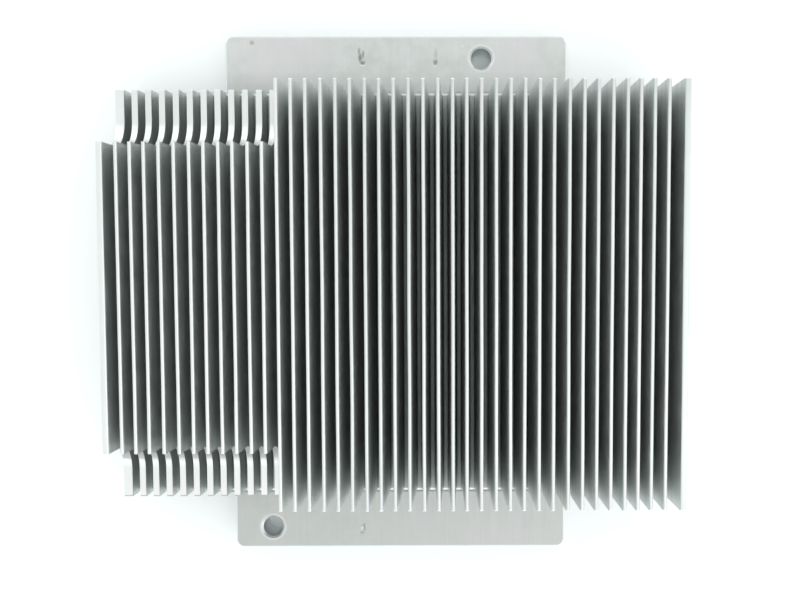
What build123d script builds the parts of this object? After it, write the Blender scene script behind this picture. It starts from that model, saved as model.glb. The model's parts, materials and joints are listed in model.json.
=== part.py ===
from build123d import *
import os

# Passive server CPU heatsink: one aluminium extrusion with straight fins, milled at its ends.
# X runs across the fins, Y along them and Z up. The origin is the middle of the underside.
# All sizes are in millimetres.

# Fins
fin_count = 41
fin_pitch = 3.0
fin_height = 19.0
fin_length = 89.6
tip_thickness = 0.75
root_thickness = 1.55
tip_radius = 0.28
root_radius = 0.45
fin_end_break = 0.35

# The last fin at each side is thicker and stands a little further off
end_fin_pitch = 3.2
end_tip_thickness = 1.3
end_root_thickness = 2.1

# Tips that lean off the even pitch, as shares of it, counted inwards from each end fin
left_lean_shares = (0.06, 0.0, -0.04, -0.02)
right_lean_shares = (-0.21, -0.19, -0.11, -0.04)

# Base under the fins: a thick middle, and a thinner wing each side that carries the outer fins
floor_height = 8.0
wing_thickness = 3.2
wing_root_radius = 2.5
wing_edge_radius = 0.4
middle_width = 75.4

# Flanges: the thick middle runs on past the fins at the back and the front
back_flange = 12.7
front_flange = 13.4
back_flange_lip = 0.8
flange_drop = 0.4
flange_corner_radius = 1.8
edge_break = 0.3

# Steps milled into both ends of the fins at the left
stepped_fins = 12
back_step_length = 12.8
front_step_length = 12.35
step_height = 5.6
step_radius = 6.0

# Guide holes, one in each flange
hole_diameter = 4.5
hole_chamfer = 0.45
back_hole_from_right = 19.15
back_hole_from_back = 4.85
front_hole_from_left = 8.45
front_hole_from_front = 4.75

# How far each cutting shape runs past what it cuts
overrun = 1.0

# Places worked out from the sizes above
total_height = floor_height + fin_height
step_top = floor_height + step_height
end_fin_middle = (fin_count - 3) * fin_pitch / 2 + end_fin_pitch
block_half = end_fin_middle + end_root_thickness / 2
middle_half = middle_width / 2
wing_bottom = floor_height - wing_thickness
flange_height = floor_height - flange_drop
total_length = back_flange + fin_length + front_flange
back_edge = total_length / 2
front_edge = -total_length / 2
fins_back = back_edge - back_flange
fins_front = front_edge + front_flange


def tip_lean(number):
    """Sideways shift of a fin's tip; fins are numbered from 1 at the left."""
    from_left = number - 2
    from_right = fin_count - 1 - number
    if from_left < len(left_lean_shares):
        return left_lean_shares[from_left] * fin_pitch
    if from_right < len(right_lean_shares):
        return right_lean_shares[from_right] * fin_pitch
    return 0


def fin_middle(number):
    """Where a fin of the even pitch stands; fins are numbered from 1 at the left."""
    return number * fin_pitch - (fin_count + 1) * fin_pitch / 2


def fin_points(root, tip, tip_width, root_width):
    """Left root, left tip, right tip and right root of a fin that thins towards its tip."""
    return [
        (root - root_width / 2, floor_height),
        (tip - tip_width / 2, total_height),
        (tip + tip_width / 2, total_height),
        (root + root_width / 2, floor_height),
    ]


def section():
    """The extrusion's section across the fins, as points (x, z) from the left wing to the right."""
    points = [(-middle_half, wing_bottom), (-block_half, wing_bottom)]
    points += fin_points(-end_fin_middle, -end_fin_middle, end_tip_thickness, end_root_thickness)
    for number in range(2, fin_count):
        middle = fin_middle(number)
        points += fin_points(middle, middle + tip_lean(number), tip_thickness, root_thickness)
    points += fin_points(end_fin_middle, end_fin_middle, end_tip_thickness, end_root_thickness)
    points += [(block_half, wing_bottom), (middle_half, wing_bottom)]
    points += [(middle_half, 0), (-middle_half, 0)]
    outline = make_face(Polyline(*points, close=True))
    outline = fillet(corners(outline, total_height), tip_radius)
    roots = corners(outline, floor_height)
    outline = fillet([v for v in roots if abs(v.X) < block_half - edge_break], root_radius)
    low = corners(outline, wing_bottom)
    outline = fillet([v for v in low if abs(v.X) < middle_half + edge_break], wing_root_radius)
    low = corners(outline, wing_bottom)
    outline = fillet([v for v in low if abs(v.X) > block_half - edge_break], wing_edge_radius)
    outline = chamfer(corners(outline, 0), edge_break)
    return Plane.XZ * outline


def corners(outline, height):
    """The corners of a section at one height; a section's own Y is the part's Z."""
    return [v for v in outline.vertices() if abs(v.Y - height) < edge_break / 10]


def fin_block():
    """The finned length of the extrusion."""
    return Pos(0, fins_back, 0) * extrude(section(), fin_length)


def foot():
    """The thick middle over its whole length, a little wider at the back left, with eased edges."""
    outline = Rectangle(middle_width, total_length)
    lip = Rectangle(back_flange_lip + middle_width, back_flange, align=(Align.MAX, Align.MAX))
    outline += Pos(middle_half, back_edge) * lip
    ends = [v for v in outline.vertices() if abs(v.Y) > back_edge - edge_break]
    outline = fillet(ends, flange_corner_radius)
    plate = extrude(outline, flange_height)
    faces = plate.faces().sort_by(Axis.Z)
    return chamfer(faces[0].edges() + faces[-1].edges(), edge_break)


def bar(profile, left, right):
    """A profile in Y and Z, run along X from left to right."""
    return Pos(left, 0, 0) * extrude(Plane.YZ * profile, right - left)


def step_profile(end, length):
    """What is cut off the stepped fins at the back: a flat step that curves up into a wall."""
    profile = Rectangle(length + overrun, fin_height + overrun, align=(Align.MIN, Align.MIN))
    inner_corner = profile.vertices().sort_by_distance((0, 0, 0))[0]
    return Pos(end - length, step_top) * fillet(inner_corner, step_radius)


def break_profile(end, height):
    """A triangle that breaks the upper corner of the fin ends at one height."""
    reach = fin_end_break + 2 * overrun
    triangle = make_face(Polyline((0, 0), (-reach, 0), (0, -reach), close=True))
    return Pos(end + overrun, height + overrun) * triangle


def end_cutter(end, step_length):
    """Everything that is milled off the fins at one end, drawn for the back."""
    left = -block_half - overrun
    step_right = fin_middle(stepped_fins) + fin_pitch / 2
    cutter = bar(step_profile(end, step_length), left, step_right)
    cutter += bar(break_profile(end, step_top), left, step_right)
    cutter += bar(break_profile(end, total_height), left, block_half + overrun)
    return cutter


def hole_cutter(x, y):
    """A guide hole through a flange, with both rims chamfered."""
    radius = hole_diameter / 2
    cone = Cone(radius, radius + hole_chamfer, hole_chamfer, align=(Align.CENTER, Align.CENTER, Align.MIN))
    drill = Cylinder(radius, flange_height + 2 * overrun, align=(Align.CENTER, Align.CENTER, Align.MIN))
    upper = Pos(0, 0, flange_height - hole_chamfer) * cone
    lower = Pos(0, 0, hole_chamfer) * Rot(180, 0, 0) * cone
    return Pos(x, y, 0) * (Pos(0, 0, -overrun) * drill + upper + lower)


def heatsink_body():
    """The finished heatsink, one piece of metal."""
    body = fin_block() + foot()
    body -= end_cutter(fins_back, back_step_length)
    body -= mirror(end_cutter(-fins_front, front_step_length), Plane.XZ)
    body -= hole_cutter(middle_half - back_hole_from_right, back_edge - back_hole_from_back)
    body -= hole_cutter(front_hole_from_left - middle_half, front_edge + front_hole_from_front)
    return body


os.makedirs("parts", exist_ok=True)
export_step(heatsink_body(), "parts/heatsink_body.step")
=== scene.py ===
import json
import math
import random

import bmesh
import bpy
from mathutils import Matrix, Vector, noise


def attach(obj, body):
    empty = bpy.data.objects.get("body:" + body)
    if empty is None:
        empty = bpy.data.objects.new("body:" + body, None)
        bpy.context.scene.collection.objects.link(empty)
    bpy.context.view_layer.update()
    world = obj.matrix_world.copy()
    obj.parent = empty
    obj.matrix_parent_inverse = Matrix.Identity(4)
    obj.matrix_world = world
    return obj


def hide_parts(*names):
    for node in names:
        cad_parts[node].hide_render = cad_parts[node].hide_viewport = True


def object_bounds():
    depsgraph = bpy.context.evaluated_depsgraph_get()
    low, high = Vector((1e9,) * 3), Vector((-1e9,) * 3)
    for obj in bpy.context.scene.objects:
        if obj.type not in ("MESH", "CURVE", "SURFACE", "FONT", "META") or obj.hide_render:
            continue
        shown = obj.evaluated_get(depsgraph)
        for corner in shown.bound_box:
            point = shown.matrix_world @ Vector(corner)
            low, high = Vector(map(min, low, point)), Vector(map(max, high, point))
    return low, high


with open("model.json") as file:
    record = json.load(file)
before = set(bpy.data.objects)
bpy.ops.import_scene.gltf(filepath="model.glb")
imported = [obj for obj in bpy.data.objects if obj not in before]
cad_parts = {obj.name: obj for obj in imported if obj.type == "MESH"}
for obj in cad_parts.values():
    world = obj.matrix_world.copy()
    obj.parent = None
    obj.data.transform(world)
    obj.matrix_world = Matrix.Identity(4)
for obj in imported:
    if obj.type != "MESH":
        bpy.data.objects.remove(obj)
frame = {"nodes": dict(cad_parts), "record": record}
cad_low, cad_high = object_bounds()

MM = 0.001
BODY = "heatsink_body"
SLOT = "mill_aluminium"

# The places that the record names: flange tops and guide holes, and how wide the rim of a hole is at most
MOUNTS = {mount["name"]: mount for mount in frame["record"]["mounts"]}
FLANGE = MOUNTS["back_clamp_land"]["pos_m"][2]
HOLES = [MOUNTS[name] for name in ("back_guide_hole", "front_guide_hole")]
RIM_WIDTH = 0.5 * MM

# Fins, as in the part; the even ones are counted from the middle
PITCH = 3.0 * MM
FLOOR = FLANGE + 0.4 * MM
STEP_TOP = FLOOR + 5.6 * MM
TIP = cad_high.z
FINS_BACK = cad_high.y - 12.7 * MM
FINS_FRONT = cad_low.y + 13.4 * MM
END_FIN = 60.2 * MM
LAST_EVEN_FIN = 19

# The heights that the fillets of the tips and roots lie within, and the least half thickness of an end fin
TIP_FILLET = 0.3 * MM
ROOT_FILLET = 0.5 * MM
END_FIN_HALF = 0.6 * MM

# The steps: the radius of each wall's foot, where the walls stand and where the stepped fins stop
STEP_RADIUS = 6.0 * MM
BACK_WALL = FINS_BACK - 12.8 * MM
FRONT_WALL = FINS_FRONT + 12.35 * MM
STEP_RIGHT = -25.5 * MM
ARC_PARTS = 12

# How near two places count as the same, and how near two corners of the CAD mesh are one
TINY = 0.002 * MM
SAME_CORNER = 0.0001 * MM
SAME_PLANE = math.radians(0.3)

# Edges that are drawn sharp: those that turn more, or that part a wide flat face from a narrow curved one
SHARP_TURN = math.radians(35)
FLAT_TURN = math.radians(1.5)
WIDE_FACE = 20

# Small fillets are drawn with fewer faces: neighbours that turn less and are of like width are joined
FILLET_TURN = math.radians(12)
LIKE_WIDTH = 3
FINE_EDGE = 0.2 * MM

# Length of fin between two slices
SLICE = 1.6 * MM

# Bowing of the fins and unevenness of their tips, the waves in both, and the sloped ends of the floor
FIN_SET = 0.07 * MM
FIN_BOW = 0.06 * MM
BOW_WAVE = 22 * MM
TIP_WEAR = 0.05 * MM
WEAR_WAVE = 4 * MM
FLOOR_SLOPE = 0.55 * MM

# Dents in the flanges, in millimetres: middle x and y, half width and half length, then the share of the
# full depth, below zero for a burr
DENTS_IN_MM = [
    (-8.75, 54.5, 0.45, 1.0, 0.7),
    (-8.5, 53.1, 0.6, 1.3, 1.0),
    (-7.8, 53.8, 0.35, 1.2, 0.9),
    (-7.95, 51.95, 0.8, 0.6, 1.0),
    (8.3, 52.05, 0.7, 0.8, 0.9),
    (8.35, 53.8, 0.5, 1.4, 0.3),
    (-32.6, 56.4, 0.7, 0.7, 0.55),
    (-8.9, -53.45, 0.4, 0.5, -0.2),
    (-8.3, -53.1, 0.4, 1.1, 0.7),
    (-8.6, -52.6, 0.5, 0.4, 0.5),
    (-8.9, -54.4, 0.6, 0.4, 0.5),
    (14.35, 55.65, 0.4, 0.5, -0.2),
]
DENTS = [tuple(size * MM for size in dent[:4]) + dent[4:] for dent in DENTS_IN_MM]
DENT_DEPTH = 0.18 * MM
DENT_CELL = 0.16 * MM
DENT_LAYER = "dent"

# Colours of the metal; a pair is the two ends of a mix
EXTRUDED = (0.74, 0.78, 0.77, 1), (0.86, 0.885, 0.875, 1)
# Fin sides with painted shade, for deep in the closed channels
EXTRUDED_PAINTED_SHADE = (0.48, 0.51, 0.50, 1)
# Channel floor: painted shade in the middle of the channels, paler painted light near their open ends
CHANNEL_FLOOR_PAINTED_SHADE = (0.25, 0.275, 0.26, 1), (0.45, 0.48, 0.46, 1)
FLANGE_TOP = (0.60, 0.635, 0.605, 1), (0.70, 0.725, 0.705, 1)
FLANGE_PATCH = (0.70, 0.69, 0.70, 1)
# Painted shade on the flanges next to the fins' ends
FLANGE_PAINTED_SHADE_BY_FINS = (0.42, 0.43, 0.41, 1)
# Step tops and other plain faces: painted light, lighter at the front than at the back
STEP_PAINTED_LIGHT_FRONT_TO_BACK = (0.89, 0.90, 0.895, 1), (0.84, 0.87, 0.86, 1)
# Curved feet of the steps: painted shade, darker at the front than at the back
STEP_FOOT_PAINTED_SHADE = (0.50, 0.51, 0.51, 1), (0.64, 0.66, 0.65, 1)
FIN_TIP = (0.755, 0.80, 0.785, 1), (0.825, 0.825, 0.815, 1)
# Painted light on the tips of the left fins
FIN_TIP_LEFT_PAINTED_LIGHT = (0.90, 0.92, 0.91, 1)
# Painted shade on the tips near the fins' ends
FIN_TIP_END_PAINTED_SHADE = (0.62, 0.64, 0.64, 1)
# Painted highlight on the leftmost fin, for glare
FIN_TIP_FAR_LEFT_PAINTED_HIGHLIGHT = (0.87, 0.90, 0.89, 1)
SAWN_END = (0.52, 0.54, 0.535, 1), (0.62, 0.64, 0.635, 1)
OUTER_SIDE = (0.62, 0.645, 0.64, 1), (0.71, 0.73, 0.725, 1)
UNDERSIDE = (0.70, 0.71, 0.71, 1)
PALE_RIM_RING = (0.88, 0.90, 0.90, 1)
# Bore wall: painted light low down, painted shade up towards the rim
BORE_PAINTED_SHADE_AND_LIGHT = (0.97, 1.0, 1.0, 1), (0.50, 0.54, 0.53, 1)
DENT = (0.30, 0.31, 0.28, 1)
BURR = (0.95, 0.96, 0.95, 1)
# Painted highlights, and painted shade, on broken edges and on the floor's slope
PAINTED_HIGHLIGHT_EDGE = (0.95, 0.96, 0.96, 1)
PAINTED_HIGHLIGHT_SLOPE = (0.97, 0.98, 0.975, 1)
FLANGE_EDGE_BACK_PAINTED_SHADE = (0.55, 0.57, 0.56, 1)
STEP_EDGE_FRONT_PAINTED_SHADE = (0.55, 0.55, 0.55, 1)
FIN_EDGE_BACK_PAINTED_SHADE = (0.60, 0.62, 0.61, 1)

# How far in the look of the fins' ends reaches, painted light and shade included, and how far out from them
# the flanges are duller with painted shade
END_REACH = 13 * MM
BY_FINS_REACH = 5 * MM

# Relief of the metal
BUMP_STRENGTH = 0.25
BUMP_DEPTH = 0.04 * MM

# Light of the room towards the walls at the back and front, the sides, and overhead
END_LIGHT = 2.4
LEFT_LIGHT = 0.8
RIGHT_LIGHT = 1.0
CEILING_LIGHT = 0.88
LOW_FRONT_LIGHT = 0.15
ROOM_COLOUR = (0.98, 1.0, 1.0, 1)

# The soft lamp overhead, in metres and watts
LAMP_PLACE = (0.4, -0.4, 0.75)
LAMP_SIZE = 1.1
LAMP_POWER = 2.0

# The ground
GROUND_REACH = 3.0
GROUND_COLOUR = (0.90, 0.92, 0.92, 1)
GROUND_GLOW_COLOUR = (0.9, 1.0, 1.0, 1)
GROUND_GLOW = 0.07

# The camera: its place in metres, its turns in degrees, and its picture in pixels
EYE_PLACE = (0.01097, 0.00862, 0.22172)
EYE_TURNS = (-3.4827, -0.3116, -0.1089)
PICTURE_WIDTH = 800
PICTURE_HEIGHT = 600
FOCAL_PIXELS = 944.9
AXIS_X = 452.75
AXIS_Y = 315.0
SENSOR_WIDTH = 36.0


class Nodes:
    """Short hand for building the nodes of a material or a world."""

    def __init__(self, owner):
        owner.use_nodes = True
        self.tree = owner.node_tree
        self.tree.nodes.clear()

    def add(self, kind, inputs=None, **settings):
        made = self.tree.nodes.new(kind)
        for key, value in settings.items():
            setattr(made, key, value)
        for key, value in (inputs or {}).items():
            self.set(made.inputs[key], value)
        return made

    def set(self, socket, value):
        if isinstance(value, bpy.types.NodeSocket):
            self.tree.links.new(value, socket)
        else:
            socket.default_value = value

    def math(self, operation, first, second=0.0):
        return self.add("ShaderNodeMath", {0: first, 1: second}, operation=operation).outputs[0]

    def both(self, first, second):
        return self.math("MULTIPLY", first, second)

    def either(self, first, second):
        return self.math("MAXIMUM", first, second)

    def sum(self, first, second):
        return self.math("ADD", first, second)

    def size(self, value):
        return self.math("ABSOLUTE", value)

    def rest(self, share):
        return self.math("SUBTRACT", 1.0, share)

    def mix(self, share, first, second):
        made = self.add("ShaderNodeMix", data_type="RGBA")
        self.set(made.inputs[0], share)
        self.set(made.inputs[6], first)
        self.set(made.inputs[7], second)
        return made.outputs[2]

    def ramp(self, value, low, high, to_low=0.0, to_high=1.0):
        made = self.add("ShaderNodeMapRange", clamp=True)
        self.set(made.inputs[0], value)
        for place, number in enumerate((low, high, to_low, to_high)):
            self.set(made.inputs[place + 1], number)
        return made.outputs[0]

    def fall(self, value, low, high):
        return self.ramp(value, low, high, 1.0, 0.0)

    def noise(self, vector, scale, detail=3.0, roughness=0.55):
        sizes = {"Vector": vector, "Scale": scale, "Detail": detail, "Roughness": roughness}
        return self.add("ShaderNodeTexNoise", sizes).outputs[0]

    def stretch(self, vector, factors):
        return self.add("ShaderNodeVectorMath", {0: vector, 1: factors}, operation="MULTIPLY").outputs[0]

    def parts(self, vector):
        """The x, y and z of a vector."""
        return self.add("ShaderNodeSeparateXYZ", {0: vector}).outputs[0:3]

    def away_from(self, place, middle):
        """Distance from an upright line through the middle."""
        flat = self.stretch(place, (1, 1, 0))
        return self.add("ShaderNodeVectorMath", {0: flat, 1: middle}, operation="DISTANCE").outputs["Value"]


class Metal(Nodes):
    """The nodes of the aluminium. Its masks say how much a point is at a place, from 0 to 1."""

    def __init__(self, material):
        super().__init__(material)
        self.place = self.add("ShaderNodeTexCoord").outputs["Object"]
        self.across, self.along, self.level = self.parts(self.place)
        self.dented = self.add("ShaderNodeAttribute", attribute_name=DENT_LAYER).outputs["Fac"]
        self.mask_faces()
        self.mask_levels()
        self.mask_ends()
        self.draw_marks()

    def mask_faces(self):
        """Which way the faces look."""
        side, end, up = self.parts(self.add("ShaderNodeNewGeometry").outputs["Normal"])
        self.sideways = self.ramp(self.size(side), 0.6, 0.9)
        self.endways = self.ramp(self.size(end), 0.8, 0.95)
        self.upward = self.ramp(up, 0.2, 0.6)
        self.downward = self.fall(up, -0.6, -0.2)
        self.level_top = self.ramp(up, 0.9, 0.97)
        broken_edge = self.both(self.upward, self.rest(self.ramp(up, 0.8, 0.9)))
        self.back_edge = self.both(broken_edge, self.ramp(end, 0.4, 0.6))
        self.front_edge = self.both(broken_edge, self.fall(end, -0.6, -0.4))

    def mask_levels(self):
        """The flanges, the steps and the feet of their walls, the tips, and the outer sides."""
        self.below_floor = self.fall(self.level, FLANGE + 0.02 * MM, FLANGE + 0.1 * MM)
        self.on_flange = self.both(self.level_top, self.below_floor)
        above_step = self.ramp(self.level, STEP_TOP - 0.5 * MM, STEP_TOP - 0.4 * MM)
        self.on_step = self.both(self.upward, above_step)
        self.on_foot = self.both(self.on_step, self.rest(self.level_top))
        self.at_tip = self.ramp(self.level, TIP - 0.9 * MM, TIP - 0.25 * MM)
        last_side = END_FIN + END_FIN_HALF
        past_last = self.ramp(self.size(self.across), last_side, last_side + 0.1 * MM)
        self.outermost = self.both(self.sideways, past_last)

    def mask_ends(self):
        """The ends of the fins, of their floor and of the flanges."""
        self.near_end = self.either(self.ramp(self.along, FINS_BACK - END_REACH, FINS_BACK),
                                    self.fall(self.along, FINS_FRONT, FINS_FRONT + END_REACH))
        beyond_wall = self.either(self.ramp(self.along, BACK_WALL, BACK_WALL + MM),
                                  self.fall(self.along, FRONT_WALL - MM, FRONT_WALL))
        self.in_step = self.both(beyond_wall, self.fall(self.across, STEP_RIGHT, STEP_RIGHT + 0.1 * MM))
        inside = self.both(self.ramp(self.along, FINS_FRONT + 0.3 * MM, FINS_FRONT + 0.5 * MM),
                           self.fall(self.along, FINS_BACK - 0.5 * MM, FINS_BACK - 0.3 * MM))
        low_fin = self.fall(self.level, FLOOR + 0.3 * MM, FLOOR + 0.9 * MM)
        self.in_floor = self.both(self.both(low_fin, inside), self.upward)
        from_middle = self.size(self.math("SUBTRACT", self.level, (FLANGE + FLOOR) / 2))
        at_drop = self.fall(from_middle, 0.22 * MM, 0.25 * MM)
        slope = self.both(self.either(self.back_edge, self.front_edge), at_drop)
        before_edge = self.fall(self.size(self.along), cad_high.y - MM, cad_high.y - 0.9 * MM)
        self.on_slope = self.both(slope, before_edge)

    def draw_marks(self):
        """Lines that the die and the cutters leave, and the unevenness of bare metal."""
        self.die_lines = self.noise(self.stretch(self.place, (1.0, 0.02, 1.0)), 2600.0, 4.0, 0.7)
        self.broad_lines = self.noise(self.stretch(self.place, (1.0, 0.03, 1.0)), 500.0, 2.0)
        self.cutter_lines = self.noise(self.stretch(self.place, (0.05, 1.0, 1.0)), 1900.0, 3.0, 0.6)
        self.mottle = self.noise(self.place, 260.0, 4.0, 0.6)
        self.grain = self.noise(self.place, 2400.0, 3.0, 0.65)
        self.patches = self.noise(self.place, 45.0, 3.0, 0.5)

    def uneven(self, marks, pair):
        """A colour between the two of a pair, as the marks say."""
        return self.mix(self.ramp(marks, 0.35, 0.65), *pair)

    def fin_sides(self):
        """Streaked along the fins, darker with painted shade deep in the closed channels, and lighter with
        painted light at their open ends and on the left fins.
        """
        streaked = self.uneven(self.broad_lines, EXTRUDED)
        open_end_light = self.either(self.both(self.in_step, 0.6), self.near_end)
        # Share of painted light: more towards the tips, at the open ends and on the left fins; the rest is
        # painted shade
        painted_light_share = self.either(self.ramp(self.level, FLOOR, TIP), open_end_light)
        painted_light_share = self.either(painted_light_share, self.ramp(self.across, STEP_RIGHT, STEP_RIGHT + 6 * MM, 0.65, 0.0))
        return self.mix(painted_light_share, EXTRUDED_PAINTED_SHADE, streaked)

    def flange_tops(self):
        """Mottled, with pale patches, and darker by the fins with painted shade."""
        flange = self.uneven(self.mottle, FLANGE_TOP)
        flange = self.mix(self.ramp(self.patches, 0.42, 0.62, 0.0, 0.6), flange, FLANGE_PATCH)
        # Painted shade on the flanges, strongest right by the fins
        near_back = self.both(self.fall(self.along, FINS_BACK, FINS_BACK + BY_FINS_REACH),
                              self.ramp(self.along, 0.0, MM))
        near_front = self.both(self.ramp(self.along, FINS_FRONT - BY_FINS_REACH, FINS_FRONT, 0.85, 1.0),
                               self.fall(self.along, -MM, 0.0))
        return self.mix(self.both(self.either(near_back, near_front), 0.5), flange, FLANGE_PAINTED_SHADE_BY_FINS)

    def fin_tips(self):
        """Each fin's tip of its own random tone, paler with painted light on the left fins and duller with
        painted shade at the ends.
        """
        number = self.math("ROUND", self.math("DIVIDE", self.across, PITCH))
        shade = self.add("ShaderNodeTexWhiteNoise", {"W": number}, noise_dimensions="1D").outputs[0]
        tip = self.mix(shade, *FIN_TIP)
        left = self.ramp(self.across, STEP_RIGHT, STEP_RIGHT + 20 * MM, 0.75, 0.0)
        tip = self.mix(left, tip, FIN_TIP_LEFT_PAINTED_LIGHT)
        not_left = self.ramp(self.across, STEP_RIGHT, STEP_RIGHT + 10 * MM, 0.4, 1.0)
        # Painted shade near the ends, weaker on the left fins
        return self.mix(self.both(self.both(self.near_end, 0.5), not_left), tip, FIN_TIP_END_PAINTED_SHADE)

    def faces(self):
        """The colours of the faces, laid over one another."""
        # Painted light: lighter towards the front, darker towards the back
        step = self.mix(self.ramp(self.along, FINS_FRONT, FINS_BACK), *STEP_PAINTED_LIGHT_FRONT_TO_BACK)
        colour = self.mix(self.sideways, step, self.fin_sides())
        colour = self.mix(self.both(self.on_step, self.level_top), colour, step)
        colour = self.mix(self.on_flange, colour, self.flange_tops())
        # Painted shade on the channel floors, lightened with painted light near the open ends
        colour = self.mix(self.in_floor, colour, self.mix(self.near_end, *CHANNEL_FLOOR_PAINTED_SHADE))
        colour = self.mix(self.endways, colour, self.uneven(self.cutter_lines, SAWN_END))
        colour = self.mix(self.outermost, colour, self.uneven(self.broad_lines, OUTER_SIDE))
        # Painted shade on the curved feet of the steps
        colour = self.mix(self.on_foot, colour, self.mix(self.ramp(self.along, -MM, MM), *STEP_FOOT_PAINTED_SHADE))
        colour = self.mix(self.at_tip, colour, self.fin_tips())
        # Painted highlight on the upward faces of the leftmost fin
        far_left = self.both(self.fall(self.across, -END_FIN, -END_FIN + MM), self.upward)
        colour = self.mix(self.both(far_left, self.rest(self.on_foot)), colour, FIN_TIP_FAR_LEFT_PAINTED_HIGHLIGHT)
        return self.mix(self.downward, colour, UNDERSIDE)

    def hole(self, colour, mount):
        """A guide hole laid over a colour: a paler ring round it, a bright rim with a painted highlight,
        and a wall with painted shade near the top that is bright with painted light low down.
        """
        x, y, _ = mount["pos_m"]
        radius = mount["dims"]["r_mm"] * MM
        rim = radius + RIM_WIDTH
        away = self.away_from(self.place, (x, y, 0))
        in_bore = self.fall(away, radius + 0.02 * MM, radius + 0.06 * MM)
        on_rim = self.both(self.fall(away, rim, rim + 0.05 * MM), self.upward)
        pale_ring = self.both(self.ramp(away, rim, rim + 0.5 * MM, 0.5, 0.0), self.on_flange)
        colour = self.mix(pale_ring, colour, PALE_RIM_RING)
        # Painted highlight on the rim's chamfer
        colour = self.mix(self.both(on_rim, self.rest(self.level_top)), colour, PAINTED_HIGHLIGHT_EDGE)
        # Painted shade high on the bore wall, painted light low down
        bore = self.mix(self.ramp(self.level, 0.25 * FLANGE, FLANGE), *BORE_PAINTED_SHADE_AND_LIGHT)
        return self.mix(in_bore, colour, bore)

    def edges(self, colour):
        """The broken edges laid over a colour: most are bright with painted highlights at the front and
        dull with painted shade at the back, and the floor's slope has a painted highlight.
        """
        at_step = self.both(self.ramp(self.level, STEP_TOP - MM, STEP_TOP - 0.9 * MM),
                            self.fall(self.level, STEP_TOP, STEP_TOP + MM))
        fins_front = self.fall(self.along, FINS_FRONT + 0.5 * MM, FINS_FRONT + 0.6 * MM)
        fins_back = self.ramp(self.along, FINS_BACK - 0.6 * MM, FINS_BACK - 0.5 * MM)
        fin_front = self.both(self.front_edge, fins_front)
        fin_back = self.both(self.back_edge, fins_back)
        # Painted shade on back edges, painted highlights on the slope, front edges and front tip ends
        colour = self.mix(self.both(self.back_edge, self.below_floor), colour, FLANGE_EDGE_BACK_PAINTED_SHADE)
        colour = self.mix(self.on_slope, colour, PAINTED_HIGHLIGHT_SLOPE)
        colour = self.mix(self.both(self.front_edge, self.below_floor), colour, PAINTED_HIGHLIGHT_EDGE)
        colour = self.mix(self.both(fin_front, self.at_tip), colour, PAINTED_HIGHLIGHT_EDGE)
        colour = self.mix(self.both(fin_front, at_step), colour, STEP_EDGE_FRONT_PAINTED_SHADE)
        return self.mix(self.both(fin_back, self.either(self.at_tip, at_step)), colour, FIN_EDGE_BACK_PAINTED_SHADE)

    def colour(self):
        """The colour of the whole part; a mix takes a share below zero as none, so burrs aren't dents."""
        colour = self.faces()
        for mount in HOLES:
            colour = self.hole(colour, mount)
        colour = self.mix(self.dented, colour, DENT)
        colour = self.mix(self.both(self.dented, -1.0), colour, BURR)
        return self.edges(colour)

    def roughness(self):
        """Rougher on the flanges and at the open ends of the fins, and smoother on the floor's slope."""
        open_end = self.both(self.near_end, self.rest(self.in_step))
        rough = self.ramp(self.mottle, 0.3, 0.7, 0.40, 0.50)
        rough = self.sum(rough, self.both(self.on_flange, 0.15))
        rough = self.sum(rough, self.both(self.sideways, self.sum(0.03, self.both(open_end, 0.12))))
        rough = self.sum(rough, self.both(self.on_slope, -0.2))
        return self.sum(rough, self.ramp(self.die_lines, 0.3, 0.7, -0.05, 0.05))

    def relief(self):
        """Die lines on the sides, cutter marks on what was milled, and grain everywhere."""
        lines = self.both(self.die_lines, self.sideways)
        cuts = self.both(self.cutter_lines, self.either(self.endways, self.upward))
        height = self.sum(self.sum(lines, cuts), self.both(self.grain, 0.6))
        sizes = {"Strength": BUMP_STRENGTH, "Distance": BUMP_DEPTH, "Height": height}
        return self.add("ShaderNodeBump", sizes).outputs[0]


def aluminium():
    """Mill-finish aluminium: die lines on extruded faces, cutter marks on milled ones."""
    material = bpy.data.materials.new(SLOT)
    metal = Metal(material)
    shader = metal.add("ShaderNodeBsdfPrincipled", {
        "Base Color": metal.colour(),
        "Metallic": 1.0,
        "Roughness": metal.roughness(),
        "Normal": metal.relief(),
    })
    metal.add("ShaderNodeOutputMaterial", {"Surface": shader.outputs[0]})
    return material


def slice_across(shape, axis, place, geometry):
    """Adds corners where a plane square to one axis meets the geometry, and gives back all of it."""
    direction = [0, 0, 0]
    direction[axis] = 1
    point = [place * share for share in direction]
    return bmesh.ops.bisect_plane(shape, geom=geometry, plane_co=point, plane_no=direction)["geom"]


def simplify_fillets(shape):
    """Draws the small fillets at the tips and roots of the fins with fewer faces."""
    shape.normal_update()
    areas = {face: face.calc_area() for face in shape.faces}
    inner = []
    for edge in shape.edges:
        first, second = (corner.co for corner in edge.verts)
        sideways = math.hypot(first.x - second.x, first.z - second.z)
        lengthwise = abs(first.y - second.y) > FINE_EDGE > sideways
        small = first.z > TIP - TIP_FILLET or FLOOR - TINY < first.z < FLOOR + ROOT_FILLET
        if lengthwise and small:
            areas_here = [areas[face] for face in edge.link_faces]
            if max(areas_here) < LIKE_WIDTH * min(areas_here):
                inner.append(edge)
    ends = list({corner for edge in inner for corner in edge.verts})
    bmesh.ops.dissolve_limit(shape, angle_limit=FILLET_TURN, verts=ends, edges=inner)


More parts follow.
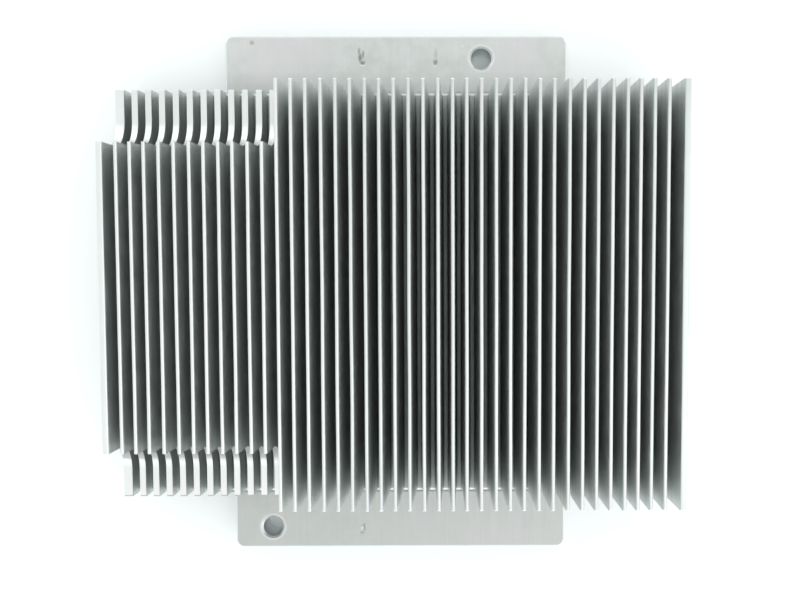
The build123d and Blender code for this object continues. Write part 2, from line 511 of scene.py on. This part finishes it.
def slice_places():
    """Where the fins are sliced: evenly, and finely round the foot of each step."""
    turns = [math.radians(90) * part / ARC_PARTS for part in range(ARC_PARTS + 1)]
    back_foot = [BACK_WALL + STEP_RADIUS * (1 - math.sin(turn)) for turn in turns]
    front_foot = [FRONT_WALL - STEP_RADIUS * (1 - math.sin(turn)) for turn in turns]
    taken = back_foot + front_foot
    places = back_foot[1:-1] + front_foot[1:-1]
    count = round((FINS_BACK - FINS_FRONT) / SLICE)
    for number in range(1, count):
        place = FINS_FRONT + (FINS_BACK - FINS_FRONT) * number / count
        if min(abs(place - other) for other in taken) > SLICE / 3:
            places.append(place)
    return sorted(places)


def from_wall(y):
    """How far a place along the fins lies past the nearer step's wall, towards the fin ends."""
    return max(y - BACK_WALL, FRONT_WALL - y)


def on_foot(point):
    """Whether a corner lies on the curved foot of a step."""
    near = -TINY < from_wall(point.y) < STEP_RADIUS + TINY
    return near and STEP_TOP - TINY < point.z < STEP_TOP + STEP_RADIUS + TINY


def round_step_feet(shape):
    """Makes the foot of each step a row of even faces, with their corners on its arc."""
    shape.normal_update()
    slanting = []
    for edge in shape.edges:
        first, second = (corner.co for corner in edge.verts)
        level = all(abs(face.normal.x) < 0.5 for face in edge.link_faces)
        if level and abs(first.y - second.y) > TINY and on_foot(first) and on_foot(second):
            slanting.append(edge)
    bmesh.ops.dissolve_edges(shape, edges=slanting, use_verts=True)
    for corner in shape.verts:
        if on_foot(corner.co):
            away = max(0.0, STEP_RADIUS - from_wall(corner.co.y))
            corner.co.z = STEP_TOP + STEP_RADIUS - math.sqrt(max(0.0, STEP_RADIUS ** 2 - away ** 2))


def fin_number(x):
    """Number of the fin that a corner belongs to, counted from the middle."""
    number = round(x / PITCH)
    if abs(number) > LAST_EVEN_FIN:
        return int(math.copysign(LAST_EVEN_FIN + 1, number))
    return number


def bow_fins(shape):
    """Sets each fin slightly out of line and bows it, more towards its tip, and wears the tips."""
    chance = random.Random(4)
    fins = range(-LAST_EVEN_FIN - 1, LAST_EVEN_FIN + 2)
    sets = {number: chance.uniform(-FIN_SET, FIN_SET) for number in fins}
    for corner in shape.verts:
        x, y, z = corner.co
        share = (z - FLOOR) / (TIP - FLOOR)
        if share <= 0:
            continue
        number = fin_number(x)
        bow = noise.noise(Vector((y / BOW_WAVE, number * 7.3, 1.5))) * FIN_BOW
        corner.co.x += share * (sets[number] + bow)
        if z > TIP - TIP_FILLET:
            wear = noise.noise(Vector((y / WEAR_WAVE, number * 3.1, 8.5)))
            corner.co.z -= TIP_WEAR * max(0.0, wear)


def slope_floor_ends(shape):
    """Turns the low step from the fins' floor to each flange into a slope, as a worn cutter leaves it."""
    shape.normal_update()
    ends = [face for face in shape.faces if abs(face.normal.y) > 0.99]
    edges = {edge for face in ends for edge in face.edges}
    corners = {corner for face in ends for corner in face.verts}
    slice_across(shape, 2, FLOOR, list(corners) + list(edges) + ends)
    for corner in shape.verts:
        if abs(corner.co.z - FLANGE) < TINY and abs(corner.co.y - FINS_BACK) < TINY:
            corner.co.y += FLOOR_SLOPE
        if abs(corner.co.z - FLANGE) < TINY and abs(corner.co.y - FINS_FRONT) < TINY:
            corner.co.y -= FLOOR_SLOPE


def flange_faces(shape, side):
    """The faces of one flange's top: side is 1 for the back and -1 for the front."""
    found = []
    for face in shape.faces:
        middle = face.calc_center_median()
        if face.normal.z > 0.99 and abs(middle.z - FLANGE) < 0.01 * MM and middle.y * side > 0:
            found.append(face)
    return found


def dent_lines(dents, axis):
    """Even lines through some dents along one axis, none of them close together."""
    lines = []
    for dent in dents:
        middle, half = dent[axis], dent[axis + 2]
        steps = math.ceil(half / DENT_CELL)
        for step in range(-steps, steps + 1):
            line = middle + half * step / steps
            if all(abs(line - other) > DENT_CELL / 2 for other in lines):
                lines.append(line)
    return lines


def dent_flanges(shape):
    """Presses the dents into the flanges, on a fine grid of their own."""
    depths = shape.verts.layers.float.new(DENT_LAYER)
    for side in (1, -1):
        dents = [dent for dent in DENTS if dent[1] * side > 0]
        faces = flange_faces(shape, side)
        edges = {edge for face in faces for edge in face.edges}
        corners = {corner for face in faces for corner in face.verts}
        geometry = list(corners) + list(edges) + faces
        for axis in (0, 1):
            for line in dent_lines(dents, axis):
                geometry = slice_across(shape, axis, line, geometry)
        for corner in geometry:
            if isinstance(corner, bmesh.types.BMVert):
                share = dent_share(corner, dents)
                corner.co.z -= share * DENT_DEPTH
                corner[depths] = share


def dent_share(corner, dents):
    """How far into a dent a corner of the flange goes, as a share of the full depth."""
    shares = [0.0]
    for x, y, half_width, half_length, share in dents:
        away = math.hypot((corner.co.x - x) / half_width, (corner.co.y - y) / half_length)
        shares.append(share * max(0.0, 1 - away ** 2))
    return max(shares, key=abs)


def mark_sharp_edges(shape):
    """Smooths the curved faces only, so that a wide flat face next to a narrow curved one stays flat."""
    shape.normal_update()
    areas = {face: face.calc_area() for face in shape.faces}
    for face in shape.faces:
        face.smooth = True
    for edge in shape.edges:
        first, second = edge.link_faces
        turn = edge.calc_face_angle(0.0)
        uneven = max(areas[first], areas[second]) > WIDE_FACE * min(areas[first], areas[second])
        edge.smooth = turn < SHARP_TURN and not (uneven and turn > FLAT_TURN)


def heatsink():
    """The extrusion with the small faults of a real one, made from the CAD solid's own mesh."""
    shape = bmesh.new()
    shape.from_mesh(frame["nodes"][BODY].data)
    bmesh.ops.remove_doubles(shape, verts=shape.verts, dist=SAME_CORNER)
    bmesh.ops.dissolve_limit(shape, angle_limit=SAME_PLANE, verts=shape.verts, edges=shape.edges)
    simplify_fillets(shape)
    dent_flanges(shape)
    geometry = shape.verts[:] + shape.edges[:] + shape.faces[:]
    for place in slice_places():
        geometry = slice_across(shape, 1, place, geometry)
    round_step_feet(shape)
    slope_floor_ends(shape)
    bow_fins(shape)
    mark_sharp_edges(shape)
    mesh = bpy.data.meshes.new("heatsink")
    shape.to_mesh(mesh)
    shape.free()
    piece = bpy.data.objects.new("heatsink", mesh)
    bpy.context.scene.collection.objects.link(piece)
    piece.data.materials.append(aluminium())
    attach(piece, "root")
    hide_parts(BODY)


def ground_material():
    """White ground that keeps the shadow, with a faint glow that only the camera sees."""
    material = bpy.data.materials.new("studio_floor")
    n = Nodes(material)
    seen = n.add("ShaderNodeLightPath").outputs["Is Camera Ray"]
    diffuse = n.add("ShaderNodeBsdfDiffuse", {"Color": GROUND_COLOUR})
    glow = n.add("ShaderNodeEmission", {"Color": GROUND_GLOW_COLOUR, "Strength": GROUND_GLOW})
    glow_seen = n.add("ShaderNodeMixShader", {0: seen, 2: glow.outputs[0]})
    lit = n.add("ShaderNodeAddShader", {0: diffuse.outputs[0], 1: glow_seen.outputs[0]})
    n.add("ShaderNodeOutputMaterial", {"Surface": lit.outputs[0]})
    return material


def ground():
    """A wide flat ground under the part."""
    mesh = bpy.data.meshes.new("floor")
    low, high = -GROUND_REACH, GROUND_REACH
    corners = [(low, low, 0), (high, low, 0), (high, high, 0), (low, high, 0)]
    mesh.from_pydata(corners, [], [(0, 1, 2, 3)])
    floor = bpy.data.objects.new("floor", mesh)
    floor.location.z = cad_low.z
    bpy.context.scene.collection.objects.link(floor)
    floor.data.materials.append(ground_material())


def room():
    """A pale room, brightest towards the back and front walls, and plain white where the camera sees it."""
    world = bpy.data.worlds.new("room")
    bpy.context.scene.world = world
    n = Nodes(world)
    across, along, up = n.parts(n.add("ShaderNodeTexCoord").outputs["Generated"])
    endways = n.ramp(n.size(along), 0.35, 0.85)
    side = n.ramp(across, -0.6, 0.6, LEFT_LIGHT, RIGHT_LIGHT)
    wall = n.sum(n.both(endways, END_LIGHT), n.both(n.rest(endways), side))
    low_front = n.both(n.fall(along, -0.9, -0.6), n.fall(up, 0.2, 0.5))
    wall = n.both(wall, n.ramp(low_front, 0.0, 1.0, 1.0, LOW_FRONT_LIGHT))
    height = n.ramp(up, 0.3, 0.9)
    strength = n.sum(n.both(wall, n.rest(height)), n.both(height, CEILING_LIGHT))
    light = n.add("ShaderNodeBackground", {"Color": ROOM_COLOUR, "Strength": strength})
    white = n.add("ShaderNodeBackground", {"Color": (1, 1, 1, 1)})
    seen = n.add("ShaderNodeLightPath").outputs["Is Camera Ray"]
    pick = n.add("ShaderNodeMixShader", {0: seen, 1: light.outputs[0], 2: white.outputs[0]})
    n.add("ShaderNodeOutputWorld", {"Surface": pick.outputs[0]})


def overhead_lamp():
    """A wide soft lamp that points at the part."""
    data = bpy.data.lights.new("overhead", "AREA")
    data.shape = "DISK"
    data.size = LAMP_SIZE
    data.energy = LAMP_POWER
    lamp = bpy.data.objects.new("overhead", data)
    lamp.location = LAMP_PLACE
    lamp.rotation_mode = "QUATERNION"
    lamp.rotation_quaternion = (-Vector(LAMP_PLACE)).to_track_quat("-Z", "Y")
    bpy.context.scene.collection.objects.link(lamp)


def camera():
    """Nearly straight above, as the photograph was taken."""
    data = bpy.data.cameras.new("camera")
    data.sensor_width = SENSOR_WIDTH
    data.lens = FOCAL_PIXELS / PICTURE_WIDTH * SENSOR_WIDTH
    data.shift_x = (PICTURE_WIDTH / 2 - AXIS_X) / PICTURE_WIDTH
    data.shift_y = (AXIS_Y - PICTURE_HEIGHT / 2) / PICTURE_WIDTH
    data.clip_start = 0.01
    data.clip_end = 10.0
    eye = bpy.data.objects.new("camera", data)
    eye.location = EYE_PLACE
    eye.rotation_euler = [math.radians(turn) for turn in EYE_TURNS]
    bpy.context.scene.collection.objects.link(eye)
    bpy.context.scene.camera = eye


heatsink()
ground()
room()
overhead_lamp()
camera()
bpy.context.scene.view_settings.view_transform = "Standard"
